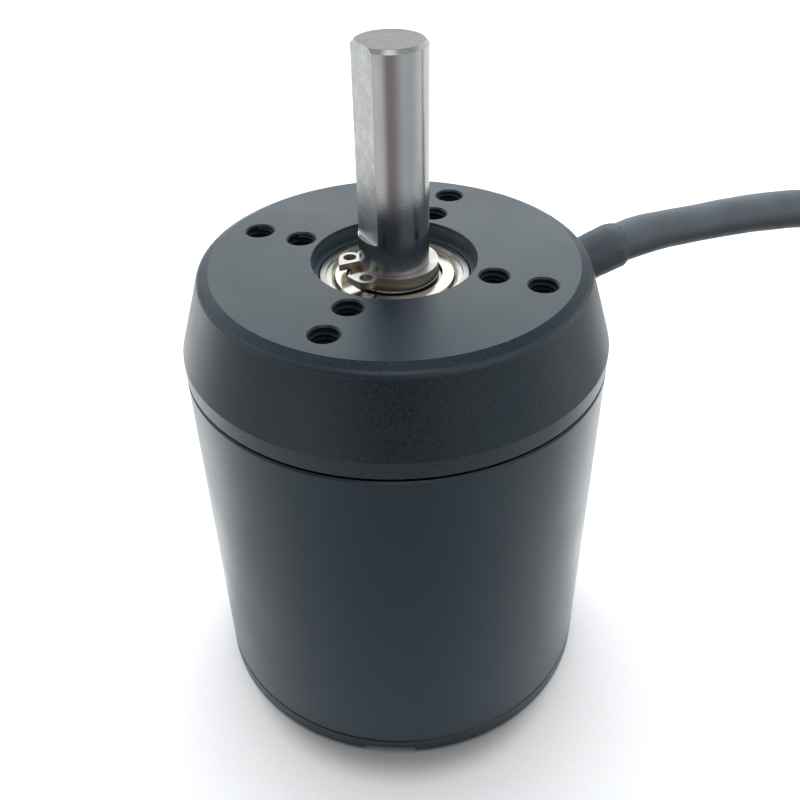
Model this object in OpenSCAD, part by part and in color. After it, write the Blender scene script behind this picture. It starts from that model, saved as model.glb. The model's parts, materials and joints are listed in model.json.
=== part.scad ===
// Sealed outrunner brushless motor with a round shaft, a wound stator and a jacketed cable.
// It stands on its end bell with the shaft up, and its axis is Z. All sizes are in millimetres.

/* [Body] */
// Outside diameter of the front mount, the can and the end bell
body_d = 63; // [62.8:0.1:63.6]
// Height from the standing face to the front face
body_h = 74; // [74:1:84]
// Wall of the steel can
can_wall = 2.5; // [2.3:0.1:2.6]
// Gap between the fixed front mount and the turning can
rim_gap = 0.4; // [0.3:0.05:0.5]
// Height of the end bell's rim below the can
bell_rim_h = 3; // [2.6:0.1:3.4]

/* [Front mount] */
// Diameter of the flat front face
face_d = 52.8; // [52.4:0.1:53.2]
// Slope of the narrow bevel round the front face, from level
bevel_slope = 25; // [20:1:30]
// Rounding between the bevel and the cone
corner_round = 1.2; // [1:0.1:1.4]
// Height of the cone below the front face
cone_h = 11.8; // [11:0.1:12.4]
// Slope of the cone, from upright
cone_slope = 17.3; // [16.5:0.1:18]
// Height of the straight band below the cone
band_h = 2.8; // [2.2:0.1:3.2]
// Diameter of the recess in front of the bearing
recess_d = 23.7; // [22.8:0.1:24.4]
// Depth of the recess
recess_depth = 2.4; // [2.3:0.1:2.6]
// Circle of the outer four mounting holes
outer_pcd = 44; // [42:1:45]
// Circle of the inner four mounting holes
inner_pcd = 30; // [30:1:32]
// Thread size of the mounting holes
hole_d = 4; // [3:0.5:4]
// Direction of the first mounting hole
hole_angle = 65.8; // [60:0.1:70]

/* [Shaft] */
// Diameter of the shaft
shaft_d = 10; // [10:0.1:10]
// Length of the shaft in front of the front face
shaft_out = 30; // [20:1:45]
// Depth of the flat milled into the shaft
flat_depth = 1; // [0.5:0.1:1.2]
// Direction that the flat faces
flat_angle = -152.9; // [-180:0.1:180]
// Height of the flat's shoulder above the front face
flat_foot = 3.9; // [3:0.1:8]
// Direction of the retaining ring's opening
clip_angle = -158.3; // [-180:0.1:180]

/* [Bearings] */
// Outside diameter of each ball bearing
bearing_d = 22; // [22:0.1:22]
// Width of each ball bearing
bearing_w = 6; // [6:0.1:6]
// Diameter of a ball
ball_d = 3.1; // [2.8:0.1:3.1]
// Balls in each bearing
ball_count = 11; // [9:1:12]

/* [Stator and magnets] */
// Diameter over the stator teeth
stator_d = 50; // [49:0.1:50.2]
// Length of the laminated stack
stack_h = 36; // [32:1:36]
// Width of a stator tooth
tooth_w = 5; // [4.5:0.1:5.2]
// Turns that lie side by side on a tooth
turns = 5; // [4:1:6]
// Magnets in the can
magnet_count = 14; // [14:1:14]
// Thickness of a magnet
magnet_t = 3.1; // [2.8:0.1:3.2]

/* [End bell] */
// Width of a channel across the standing face
channel_w = 8.2; // [6:0.1:10]
// Depth of a channel
channel_depth = 1.4; // [1:0.1:1.8]
// Channels across the standing face
channel_count = 4; // [2:1:4]
// Direction of the first channel
channel_angle = -94.5; // [-180:0.5:180]

/* [Cable] */
// Diameter of the jacketed cable
cable_d = 6.3; // [6:0.1:6.4]
// Diameter of the shrunk sleeve over the cable at the motor
sleeve_d = 7.7; // [7.4:0.1:8]
// Direction in which the cable leaves the motor
cable_angle = 20.8; // [20.8:0.1:20.8]
// Diameter of a phase lead
phase_d = 2.5; // [2.3:0.1:2.6]
// Diameter of the bundle of sensor wires
sensor_d = 2.3; // [2:0.1:2.4]

/* [Hidden] */
$fn = 96;
cut = 1;          // how far a cutting shape runs past the face that it cuts
press_gap = 0.01; // radial gap between pieces that are pressed together

// Levels of the body
face_z = body_h;
band_z = face_z - cone_h - band_h;
can_top_z = band_z - rim_gap;
body_r = body_d / 2;
can_inner_r = body_r - can_wall;

// Front rim: a bevel from the flat face, rounded into the cone
face_r = face_d / 2;
corner_r = body_r - cone_h * tan(cone_slope);
bevel_l = (corner_r - face_r) / (cos(bevel_slope) - sin(bevel_slope) * tan(cone_slope));
round_l = corner_round * tan((90 - cone_slope - bevel_slope) / 2);
bevel_end = [face_r, face_z] + (bevel_l - round_l) * [cos(bevel_slope), -sin(bevel_slope)];
cone_start = [face_r, face_z] + bevel_l * [cos(bevel_slope), -sin(bevel_slope)]
    + round_l * [sin(cone_slope), -cos(cone_slope)];
round_centre = bevel_end - corner_round * [sin(bevel_slope), cos(bevel_slope)];
edge = 0.25;
recess_edge = 0.1;

// Inside of the front mount
plate_z = face_z - 5;
chamber_r = 27.3;
chamber_top_r = 25.4;
chamber_neck_z = band_z + 2.6;
spigot_r = can_inner_r - 0.4;
spigot_h = 1.2;
hole_mouth_d = hole_d + 0.5;

// Bearings: the front one sits below the recess, the rear one at the carrier tube's foot
ball_circle_r = 8;
race_r = ball_d / 2 + 0.07;
bearing_r = bearing_d / 2;
front_bearing_z = face_z - recess_depth - bearing_w;
tube_foot_z = 12;
rear_bearing_z = tube_foot_z + 0.3;
tube_r = 13;
tube_bore_r = 9.8;
core_stop_r = 14.2;

// Shaft and retaining ring
shaft_r = shaft_d / 2;
shaft_foot_z = 0.5;
shaft_top_z = face_z + shaft_out;
clip_t = 1;
clip_z = face_z - 1.5;
groove_r = shaft_r - 0.2;
groove_play = 0.05;
shim_t = 0.12;
shoulder_r = 0.35;
seam_from_flat = 142.5; // turns the shaft's seam well away from the flat

// Stator and rotor
tooth_count = 12;
tooth_angle = cable_angle + 15;
stack_z = 17.5;
stack_top_z = stack_z + stack_h;
stack_mid_z = stack_z + stack_h / 2;
stator_r = stator_d / 2;
yoke_r = 17;
insulator_t = 1;
coil_t = 2.9;
coil_start_r = 17.9;
coil_end_r = 22.8;
magnet_r = can_inner_r - 0.1;
magnet_z = 15.5;
magnet_h = 42.2;
bell_plate_h = 5;
bell_spigot_h = 4.5;
hub_r = 8;
hub_top_z = 11.5;

// Sensor board, whose sensors are a third of an electrical turn apart
board_angle = -50;
board_z = 60.4;
board_t = 1.2;
sensor_step = 360 / (magnet_count / 2) / 3;

// Cable route from the motor's chamber to its coil, and from the coil to the jacket's end
exit_r = 30.3;
exit_z = 66.1;
exit_rise = 20;
sleeve_bend_r = 49;
sleeve_turn = 9.6;
sleeve_inside = 3.5;
cable_r = cable_d / 2;
cable_route = [[23.9, 9.1, 64.4], [28.3, 10.8, 66.1], [32.7, 12.4, 67.5], [37.4, 14.2, 68.5],
    [43.0, 16.3, 69.0], [49.5, 18.8, 69.1], [56.1, 21.3, 68.9], [62.6, 23.8, 68.3],
    [68.6, 26.1, 67.4], [74.2, 28.2, 65.9], [79.8, 30.4, 62.4], [84.5, 32.1, 57.4],
    [87.8, 33.4, 51.0], [91.3, 34.7, 39.3], [95.0, 36.1, 27.4], [98.1, 37.3, 20.5],
    [102.4, 39.0, 15.5], [107.8, 41.0, 11.9], [113.8, 43.3, 9.9], [118.3, 44.85, 9.45]];
tail_route = [[141.3, -17.0, 3.2], [134.0, -19.9, 3.2], [126.5, -22.6, 3.2], [119.0, -24.6, 3.2]];

// Coil of the cable, laid on the surface beside the motor
coil_centre = [130, 14];
coil_r = 33;

// Leads from the jacket's end to their connectors
phase_a_route = [[122.6, -22.5, 1.9], [114, -23.6, 1.5], [107, -22.2, 1.3], [100, -19.8, 1.4],
    [95, -18.2, 2.2], [91, -17.5, 2.6]];
phase_b_route = [[123.3, -25.0, 1.9], [114, -27.6, 1.5], [107, -28.2, 1.3], [100, -27.4, 1.4],
    [95, -26.5, 2.2], [91, -26.2, 2.6]];
phase_c_route = [[123.3, -25.2, 4.5], [115, -28.6, 4.4], [108, -32.4, 2.4], [100, -35.0, 1.5],
    [95, -35.3, 2.2], [91, -35.4, 2.6]];
sensor_route = [[122.7, -22.8, 4.5], [114, -21.0, 3.9], [107, -17.4, 2.0], [100, -12.6, 1.3],
    [95, -8.6, 1.7], [90, -6.5, 2.3]];
plug_size = [8, 13.9, 4.6];
plug_pitch = 2;
bullet_sleeve_r = 2.6;
bullet_sleeve_l = 12;
bullet_pin_r = 2;
bullet_pin_l = 8;

function unit(v) = v / norm(v);
function heading(route, i) = unit(route[min(i + 1, len(route) - 1)] - route[max(i - 1, 0)]);
function ring(centre, along, r, sides) =
    let (side = unit(cross(along, [0, 0, 1])), up = cross(side, along))
    [for (k = [0 : sides - 1]) centre + r * (cos(360 * k / sides) * side + sin(360 * k / sides) * up)];
function polar(r, angle, z) = [r * cos(angle), r * sin(angle), z];

// A round cord swept along the points of a route
module cord(route, d, sides = 8) {
    last = len(route) - 1;
    points = [for (i = [0 : last]) each ring(route[i], heading(route, i), d / 2, sides)];
    walls = [for (i = [0 : last - 1], k = [0 : sides - 1])
        let (a = i * sides + k, b = i * sides + (k + 1) % sides)
        each [[a, b, b + sides], [a, b + sides, a + sides]]];
    ends = [[for (k = [sides - 1 : -1 : 0]) k], [for (k = [0 : sides - 1]) last * sides + k]];
    polyhedron(points, concat(walls, ends), convexity = 4);
}

module pie(angle, r) {
    polygon([[0, 0], [r, -r * tan(angle / 2)], [r, r * tan(angle / 2)]]);
}

module rounded_rect(w, h, r) {
    square([w - 2 * r, h], center = true);
    square([w, h - 2 * r], center = true);
    for (x = [-1, 1], y = [-1, 1])
        translate([x * (w / 2 - r), y * (h / 2 - r)]) circle(r = r, $fn = 32);
}

// Half section of the front mount, before its chamber and bores are cut
module mount_blank() {
    polygon([[0, band_z], [body_r - edge, band_z], [body_r, band_z + edge], [body_r, face_z - cone_h],
        cone_start, bevel_end, [face_r, face_z], [0, face_z]]);
    translate(round_centre) circle(r = corner_round);
    translate([0, tube_foot_z]) square([tube_r, plate_z - tube_foot_z + cut]);
    translate([0, stack_top_z + insulator_t]) square([core_stop_r, plate_z - stack_top_z]);
    translate([0, band_z - spigot_h]) square([spigot_r, spigot_h + cut]);
}

module mount_section() {
    difference() {
        mount_blank();
        polygon([[core_stop_r, band_z - spigot_h - cut], [chamber_r, band_z - spigot_h - cut],
            [chamber_r, chamber_neck_z], [chamber_top_r, plate_z], [core_stop_r, plate_z]]);
        square([tube_bore_r, body_h + cut]);
        translate([0, tube_foot_z - cut])
            square([bearing_r + press_gap, rear_bearing_z + bearing_w - tube_foot_z + cut]);
        translate([0, front_bearing_z]) square([bearing_r + press_gap, body_h]);
        translate([0, face_z - recess_depth]) square([recess_d / 2, body_h]);
        polygon([[0, face_z - recess_edge], [recess_d / 2, face_z - recess_edge],
            [recess_d / 2 + recess_edge + cut, face_z + cut], [0, face_z + cut]]);
    }
}

module mounting_hole() {
    mouth = (hole_mouth_d - hole_d) / 2;
    translate([0, 0, plate_z - cut]) cylinder(d = hole_d, h = body_h, $fn = 48);
    translate([0, 0, face_z - mouth])
        cylinder(r1 = hole_d / 2, r2 = hole_d / 2 + mouth + cut, h = mouth + cut, $fn = 48);
}

module front_mount() {
    color([0.17, 0.19, 0.21])
    difference() {
        rotate_extrude() mount_section();
        for (k = [0 : 3], pcd = [outer_pcd, inner_pcd])
            rotate([0, 0, hole_angle + 90 * k]) translate([pcd / 2, 0, 0]) mounting_hole();
        along_exit() translate([0, 0, -8]) cylinder(d = sleeve_d + 0.3, h = 14, $fn = 48);
    }
}

// Places its children on the cable's exit point, with Z along the cable
module along_exit() {
    rotate([0, 0, cable_angle]) translate([exit_r, 0, exit_z]) rotate([0, 90 - exit_rise, 0]) children();
}

module stator_teeth(width, rim) {
    for (i = [0 : tooth_count - 1]) rotate(tooth_angle + i * 360 / tooth_count) {
        translate([yoke_r - cut, -width / 2]) square([stator_r - rim - yoke_r + cut, width]);
        intersection() {
            difference() {
                circle(r = stator_r);
                circle(r = stator_r - rim);
            }
            pie(24.8, 2 * stator_r);
        }
    }
}

module yoke(outer_r) {
    difference() {
        circle(r = outer_r);
        circle(r = tube_r + press_gap);
    }
}

module stator_core() {
    color([0.45, 0.46, 0.48])
    translate([0, 0, stack_z]) linear_extrude(stack_h) {
        yoke(yoke_r);
        stator_teeth(tooth_w, 1.5);
    }
}

// End plate that keeps the coils off the stack, drawn for the upper side
module insulator() {
    linear_extrude(insulator_t) {
        yoke(yoke_r + 0.5);
        stator_teeth(tooth_w + 0.8, 1.4);
    }
    linear_extrude(insulator_t + 2) intersection() {
        stator_teeth(tooth_w + 0.8, 1.4);
        difference() {
            circle(r = stator_r - 0.3);
            circle(r = coil_end_r + 0.2);
        }
    }
    linear_extrude(insulator_t + 2.6) difference() {
        circle(r = yoke_r + 0.5);
        circle(r = yoke_r - 0.6);
    }
}

board_post_angles = [board_angle - 38, board_angle, board_angle + 38];

module front_insulator() {
    color([0.88, 0.86, 0.78])
    difference() {
        union() {
            translate([0, 0, stack_top_z]) insulator();
            for (a = board_post_angles) translate(polar(16, a, stack_top_z))
                cylinder(r = 1.7, h = board_z - stack_top_z, $fn = 32);
        }
        translate([0, 0, stack_top_z - cut]) cylinder(r = core_stop_r + 0.05, h = 12);
        for (a = board_post_angles) translate(polar(16, a, board_z - 4)) cylinder(r = 1.01, h = 5, $fn = 32);
    }
}

module rear_insulator() {
    color([0.88, 0.86, 0.78])
    translate([0, 0, stack_z]) mirror([0, 0, 1]) insulator();
}

// Section of the coil across its tooth, grown by t around the insulated tooth
module turn_section(t) {
    w = tooth_w + 0.9;
    h = stack_h + 2 * insulator_t + 0.1;
    difference() {
        rounded_rect(w + 2 * t, h + 2 * t, 2.4);
        square([w, h], center = true);
    }
}

module tooth_coil(i) {
    pitch = (coil_end_r - coil_start_r) / turns;
    rotate([0, 0, tooth_angle + i * 360 / tooth_count]) translate([0, 0, stack_mid_z])
    intersection() {
        rotate([90, 0, 90]) {
            translate([0, 0, coil_start_r]) linear_extrude(coil_end_r - coil_start_r)
                turn_section(coil_t - 0.25);
            for (k = [0 : turns - 1])
                translate([0, 0, coil_start_r + k * pitch]) linear_extrude(pitch - 0.12)
                    turn_section(coil_t);
        }
        translate([0, 0, -stack_h]) linear_extrude(2 * stack_h) pie(28.6, 2 * stator_r);
    }
}

module phase_a_coils() {
    color([0.72, 0.40, 0.20]) for (i = [0, 1, 6, 7]) tooth_coil(i);
}

module phase_b_coils() {
    color([0.76, 0.43, 0.22]) for (i = [2, 3, 8, 9]) tooth_coil(i);
}

module phase_c_coils() {
    color([0.68, 0.37, 0.18]) for (i = [4, 5, 10, 11]) tooth_coil(i);
}

module sensor_board() {
    color([0.10, 0.35, 0.18])
    translate([0, 0, board_z]) linear_extrude(board_t) difference() {
        intersection() {
            difference() {
                circle(r = 25);
                circle(r = core_stop_r + 0.4);
            }
            rotate(board_angle) pie(92, 80);
        }
        for (a = board_post_angles) translate([16 * cos(a), 16 * sin(a)]) circle(r = 1.1, $fn = 32);
    }
}

module hall_sensors() {
    size = [1.5, 4.1, 3];
    color([0.13, 0.13, 0.14])
    for (k = [-1 : 1]) rotate([0, 0, board_angle + k * sensor_step])
        translate([23.6, 0, board_z - size[2] - 0.3]) {
            translate([0, -size[1] / 2, 0]) cube(size);
            for (y = [-1.27, 0, 1.27])
                translate([0.5, y - 0.2, size[2]]) cube([0.4, 0.4, 0.3]);
        }
}

module board_screws() {
    head_h = 1.3;
    color([0.75, 0.75, 0.72])
    for (a = board_post_angles) translate(polar(16, a, board_z - 3.5)) difference() {
        union() {
            cylinder(r = 1, h = 3.5 + board_t + 0.1, $fn = 32);
            translate([0, 0, 3.5 + board_t]) cylinder(r = 1.75, h = head_h, $fn = 32);
        }
        for (turn = [0, 90]) rotate([0, 0, turn]) translate([-1, -0.2, 3.5 + board_t + 0.6]) cube([2, 0.4, 2]);
    }
}

// Wires between the cable's inner end, the coils and the sensor board
module inner_leads() {
    color([0.62, 0.35, 0.18]) {
        cord([polar(25.7, 18.0, 63.2), polar(24, 24, 61.4), polar(21.8, 33, 59.6), polar(20.6, 35.8, 57.5)], 1.8);
        cord([polar(25.7, 23.4, 63.4), polar(23.4, 36, 63.0), polar(21.4, 54, 61.2), polar(20.8, 63, 59.2),
            polar(20.6, 65.8, 57.5)], 1.8);
        cord([polar(25.7, 23.2, 65.8), polar(23.2, 40, 65.6), polar(21.0, 66, 64.2), polar(20.2, 92, 61.8),
            polar(20.4, 114, 60.0), polar(20.5, 123, 58.8), polar(20.6, 125.8, 57.5)], 1.8);
        cord([polar(25.7, 18.4, 65.6), polar(24.4, 9, 65.2), polar(22.8, -2, 63.8), polar(22.0, -9, 62.4)], 1.4);
    }
}

// Bearing pieces, drawn with the bearing's lower face at Z = 0
module bearing_at(z) {
    translate([0, 0, z]) children();
}

module both_faces() {
    children();
    translate([0, 0, bearing_w]) mirror([0, 0, 1]) children();
}

module outer_ring() {
    inner = 9.2;
    shield_r = 9.9;
    shield_depth = 0.95;
    chamfer = 0.3;
    color([0.72, 0.72, 0.70])
    rotate_extrude() difference() {
        polygon([[inner, 0], [bearing_r - chamfer, 0], [bearing_r, chamfer],
            [bearing_r, bearing_w - chamfer], [bearing_r - chamfer, bearing_w], [inner, bearing_w]]);
        translate([ball_circle_r, bearing_w / 2]) circle(r = race_r, $fn = 48);
        translate([0, -cut]) square([shield_r, shield_depth + cut]);
        translate([0, bearing_w - shield_depth]) square([shield_r, shield_depth + cut]);
    }
}

// Inner ring, stepped down under the shields' inner edges
module inner_ring() {
    land_r = 6.8;
    step_r = 6.4;
    step_h = 0.75;
    color([0.75, 0.75, 0.74])
    rotate_extrude() difference() {
        union() {
            translate([shaft_r + press_gap, 0]) square([step_r - shaft_r - press_gap, bearing_w]);
            translate([shaft_r + press_gap, step_h])
                square([land_r - shaft_r - press_gap, bearing_w - 2 * step_h]);
        }
        translate([ball_circle_r, bearing_w / 2]) circle(r = race_r, $fn = 48);
    }
}

module balls() {
    color([0.85, 0.85, 0.86])
    for (i = [0 : ball_count - 1])
        rotate([0, 0, i * 360 / ball_count]) translate([ball_circle_r, 0, bearing_w / 2])
            sphere(d = ball_d, $fn = 32);
}

module cage() {
    half_w = 0.45;
    h = 3.9;
    color([0.65, 0.60, 0.45])
    difference() {
        rotate_extrude() translate([ball_circle_r - half_w, (bearing_w - h) / 2]) square([2 * half_w, h]);
        for (i = [0 : ball_count - 1])
            rotate([0, 0, i * 360 / ball_count]) translate([ball_circle_r, 0, bearing_w / 2])
                rotate([0, 90, 0]) cylinder(r = ball_d / 2 + 0.08, h = 4 * half_w, center = true, $fn = 32);
    }
}

// Dished steel shields, held in the outer ring by wire snap rings
module shields() {
    color([0.86, 0.84, 0.76])
    both_faces() rotate_extrude()
        polygon([[9.85, 0.72], [9.85, 0.92], [9.08, 0.92], [8.5, 0.40], [6.95, 0.28], [6.95, 0.08],
            [8.56, 0.20], [9.16, 0.72]]);
}

module snap_rings() {
    color([0.78, 0.77, 0.72])
    both_faces() rotate([0, 0, 155]) rotate_extrude(angle = 236)
        translate([9.32, 0.27]) square([0.53, 0.43]);
}

module front_bearing_outer_ring() { bearing_at(front_bearing_z) outer_ring(); }
module front_bearing_inner_ring() { bearing_at(front_bearing_z) inner_ring(); }
module front_bearing_balls() { bearing_at(front_bearing_z) balls(); }
module front_bearing_cage() { bearing_at(front_bearing_z) cage(); }
module front_bearing_shields() { bearing_at(front_bearing_z) shields(); }
module front_snap_rings() { bearing_at(front_bearing_z) snap_rings(); }
module rear_bearing_outer_ring() { bearing_at(rear_bearing_z) outer_ring(); }
module rear_bearing_inner_ring() { bearing_at(rear_bearing_z) inner_ring(); }
module rear_bearing_balls() { bearing_at(rear_bearing_z) balls(); }
module rear_bearing_cage() { bearing_at(rear_bearing_z) cage(); }
module rear_bearing_shields() { bearing_at(rear_bearing_z) shields(); }
module rear_snap_rings() { bearing_at(rear_bearing_z) snap_rings(); }

module rotor_can() {
    color([0.15, 0.17, 0.19])
    rotate_extrude() polygon([[can_inner_r, bell_rim_h], [body_r - edge, bell_rim_h],
        [body_r, bell_rim_h + edge], [body_r, can_top_z - edge], [body_r - edge, can_top_z],
        [can_inner_r, can_top_z]]);
}

module bell_section() {
    chamfer = 0.5;
    spigot = can_inner_r - press_gap;
    polygon([[9.4, 0], [body_r - chamfer, 0], [body_r, chamfer], [body_r, bell_rim_h - edge],
        [body_r - edge, bell_rim_h], [spigot, bell_rim_h], [spigot, bell_plate_h + bell_spigot_h],
        [26.2, bell_plate_h + bell_spigot_h], [25.2, bell_plate_h], [hub_r + 1.5, bell_plate_h],
        [hub_r, bell_plate_h + 1.5], [hub_r, hub_top_z], [shaft_r + press_gap, hub_top_z],
        [shaft_r + press_gap, 1.3], [5.5, 0.8], [9, 0.8]]);
}

module end_bell() {
    color([0.16, 0.18, 0.20])
    difference() {
        rotate_extrude() bell_section();
        for (k = [0 : channel_count - 1])
            rotate([0, 0, channel_angle + k * 360 / channel_count]) {
                translate([16, -channel_w / 2, -cut]) cube([body_r, channel_w, channel_depth + cut]);
                translate([16, 0, -cut]) cylinder(d = channel_w, h = channel_depth + cut, $fn = 48);
            }
        at_hub_screws() cylinder(d = 3.3, h = hub_r, $fn = 32);
    }
}

module at_hub_screws() {
    for (a = [flat_angle, flat_angle + 90])
        rotate([0, 0, a]) translate([0, 0, 8.6]) rotate([0, 90, 0]) children();
}

module hub_screws() {
    length = 2.8;
    color([0.20, 0.20, 0.21])
    at_hub_screws() translate([0, 0, shaft_r + 0.05]) difference() {
        cylinder(d = 3.28, h = length, $fn = 32);
        translate([0, 0, length - 1.5]) cylinder(d = 2.3, h = 2, $fn = 6);
    }
}

module magnets() {
    arc = 360 / magnet_count - 1.9;
    color([0.70, 0.71, 0.73])
    for (i = [0 : magnet_count - 1])
        rotate([0, 0, i * 360 / magnet_count]) rotate_extrude(angle = arc)
            translate([magnet_r - magnet_t, magnet_z]) square([magnet_t, magnet_h]);
}

// Side view of what the flat takes away, with a small radius at its shoulder
module flat_cut() {
    translate([shoulder_r, 0]) square([shaft_r, 2 * shaft_out]);
    translate([0, shoulder_r]) square([shaft_r, 2 * shaft_out]);
    translate([shoulder_r, shoulder_r]) circle(r = shoulder_r, $fn = 32);
}

module shaft() {
    chamfer = 0.5;
    color([0.62, 0.62, 0.61])
    difference() {
        rotate([0, 0, flat_angle + seam_from_flat]) rotate_extrude() polygon([[0, shaft_foot_z],
            [shaft_r - chamfer, shaft_foot_z], [shaft_r, shaft_foot_z + chamfer],
            [shaft_r, clip_z - groove_play], [groove_r, clip_z - groove_play],
            [groove_r, clip_z + clip_t + groove_play], [shaft_r, clip_z + clip_t + groove_play],
            [shaft_r, shaft_top_z - chamfer], [shaft_r - chamfer, shaft_top_z], [0, shaft_top_z]]);
        rotate([0, 0, flat_angle]) translate([shaft_r - flat_depth, 0, face_z + flat_foot]) rotate([90, 0, 0])
            linear_extrude(2 * shaft_d, center = true) flat_cut();
    }
}

// Outline of the retaining ring, widest opposite its opening, which lies towards +X
module clip_outline() {
    lug_angle = 30.4;
    lug_r = 6.45;
    lug_hole_d = 1.9;
    lug_reach = 7.95;
    opening = 3.3;
    difference() {
        union() {
            translate([-0.33, 0]) circle(r = 6);
            for (s = [-1, 1]) rotate(s * lug_angle) {
                translate([lug_r, 0]) circle(r = lug_reach - lug_r);
                intersection() {
                    circle(r = lug_reach);
                    translate([shaft_r, s > 0 ? -3 : 0]) square([lug_reach, 3]);
                }
            }
        }
        circle(r = groove_r + 0.02);
        translate([0, -opening / 2]) square([body_r, opening]);
        for (s = [-1, 1]) rotate(s * lug_angle) translate([lug_r, 0]) circle(d = lug_hole_d, $fn = 32);
    }
}

module retaining_ring() {
    color([0.60, 0.59, 0.55])
    translate([0, 0, clip_z]) rotate([0, 0, clip_angle]) linear_extrude(clip_t) clip_outline();
}

module washer(z, t, outer_r) {
    translate([0, 0, z]) difference() {
        cylinder(r = outer_r, h = t);
        translate([0, 0, -cut]) cylinder(r = shaft_r + 0.03, h = t + 2 * cut);
    }
}

module brass_shim() {
    color([0.80, 0.62, 0.30]) washer(clip_z - shim_t - 0.02, shim_t, 6.12);
}

// Washer on the inner ring, with a low lip round its foot
module steel_shim() {
    t = clip_z - shim_t - 0.04 - front_bearing_z - bearing_w;
    color([0.70, 0.70, 0.68]) translate([0, 0, front_bearing_z + bearing_w]) rotate_extrude()
        polygon([[shaft_r + 0.03, 0], [6.42, 0], [6.42, 0.12], [6.28, 0.22], [6.28, t], [shaft_r + 0.03, t]]);
}

module rear_spacer() {
    color([0.70, 0.70, 0.68]) washer(hub_top_z, rear_bearing_z - hub_top_z, 6.5);
}

// Shrunk sleeve over the cable, from inside the mount's wall to a little way outside it
module cable_sleeve() {
    color([0.20, 0.23, 0.25])
    along_exit() translate([sleeve_bend_r, 0, 0]) rotate([90, 0, 0]) rotate([0, 0, 180 - sleeve_turn])
        rotate_extrude(angle = sleeve_turn + sleeve_inside) translate([sleeve_bend_r, 0]) difference() {
            circle(d = sleeve_d, $fn = 48);
            circle(r = cable_r + 0.05, $fn = 48);
        }
}

module motor_cable() {
    color([0.23, 0.26, 0.29]) cord(cable_route, cable_d, 10);
}

module cable_tail() {
    color([0.23, 0.26, 0.29]) cord(tail_route, cable_d, 10);
}

// The coil's outer shape, two turns high
module cable_coil() {
    color([0.23, 0.26, 0.29])
    translate([coil_centre[0], coil_centre[1], 0]) rotate_extrude()
        translate([coil_r, cable_d]) rounded_rect(cable_d, 2 * cable_d, cable_r - 0.4);
}

module phase_lead_a() {
    color([0.85, 0.72, 0.15]) cord(phase_a_route, phase_d);
}

module phase_lead_b() {
    color([0.15, 0.45, 0.25]) cord(phase_b_route, phase_d);
}

module phase_lead_c() {
    color([0.15, 0.30, 0.62]) cord(phase_c_route, phase_d);
}

module sensor_lead() {
    color([0.20, 0.20, 0.22]) cord(sensor_route, sensor_d);
}

// Places its children on a lead's end, with Z along the connector, away from the lead
module at_lead_end(route) {
    translate(route[len(route) - 1]) rotate([0, -90, 0]) children();
}

// Shrunk sleeve over a bullet connector's solder cup, narrowed onto the lead
module bullet_sleeve(route) {
    wire_r = phase_d / 2 + 0.08;
    color([0.10, 0.10, 0.11])
    at_lead_end(route) rotate_extrude() polygon([[wire_r, -3], [wire_r + 0.4, -3], [bullet_sleeve_r, -0.6],
        [bullet_sleeve_r, bullet_sleeve_l - 3], [2.3, bullet_sleeve_l - 3], [2.3, 0], [wire_r, 0]]);
}

// Gold bullet connector: solder cup, collar and slotted pin with a round nose
module bullet(route) {
    cup_l = bullet_sleeve_l - 3;
    color([0.85, 0.68, 0.30])
    at_lead_end(route) difference() {
        union() {
            translate([0, 0, 0.05]) cylinder(r = 2.25, h = cup_l - 0.05, $fn = 48);
            translate([0, 0, cup_l]) cylinder(r = 2.5, h = 0.8, $fn = 48);
            cylinder(r = bullet_pin_r, h = cup_l + bullet_pin_l - 1, $fn = 48);
            translate([0, 0, cup_l + bullet_pin_l - 1])
                cylinder(r1 = bullet_pin_r, r2 = bullet_pin_r - 0.8, h = 1, $fn = 48);
        }
        for (turn = [0, 90]) rotate([0, 0, turn])
            translate([-bullet_pin_r, -0.2, cup_l + 1.8]) cube([2 * bullet_pin_r, 0.4, bullet_pin_l - 3.4]);
    }
}

module bullet_sleeve_a() { bullet_sleeve(phase_a_route); }
module bullet_sleeve_b() { bullet_sleeve(phase_b_route); }
module bullet_sleeve_c() { bullet_sleeve(phase_c_route); }
module bullet_a() { bullet(phase_a_route); }
module bullet_b() { bullet(phase_b_route); }
module bullet_c() { bullet(phase_c_route); }

// Six-way socket housing on the sensor wires, with keying ribs and open contact bays
module sensor_plug() {
    end = sensor_route[len(sensor_route) - 1];
    color([0.90, 0.89, 0.85])
    translate([end[0] - plug_size[0], end[1], 0]) difference() {
        union() {
            translate([0, -plug_size[1] / 2, 0]) cube(plug_size);
            for (s = [-1, 1]) translate([0, s * (plug_size[1] / 2 - 1.6) - 0.5, plug_size[2] - 0.1])
                cube([6, 1, 0.6]);
        }
        for (i = [0 : 5]) translate([0, (i - 2.5) * plug_pitch, 0]) {
            translate([-cut, -0.6, 1.5]) cube([5 + cut, 1.2, 1.6]);
            translate([2.2, -0.5, plug_size[2] - 1]) cube([2.4, 1, 2]);
        }
    }
}

front_mount();
stator_core();
front_insulator();
rear_insulator();
phase_a_coils();
phase_b_coils();
phase_c_coils();
sensor_board();
hall_sensors();
board_screws();
inner_leads();
front_bearing_outer_ring();
front_bearing_inner_ring();
front_bearing_balls();
front_bearing_cage();
front_bearing_shields();
front_snap_rings();
rear_bearing_outer_ring();
rear_bearing_inner_ring();
rear_bearing_balls();
rear_bearing_cage();
rear_bearing_shields();
rear_snap_rings();
rotor_can();
end_bell();
magnets();
shaft();
retaining_ring();
brass_shim();
steel_shim();
rear_spacer();
hub_screws();
cable_sleeve();
motor_cable();
cable_coil();
cable_tail();
phase_lead_a();
phase_lead_b();
phase_lead_c();
sensor_lead();
bullet_sleeve_a();
bullet_sleeve_b();
bullet_sleeve_c();
bullet_a();
bullet_b();
bullet_c();
sensor_plug();
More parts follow.
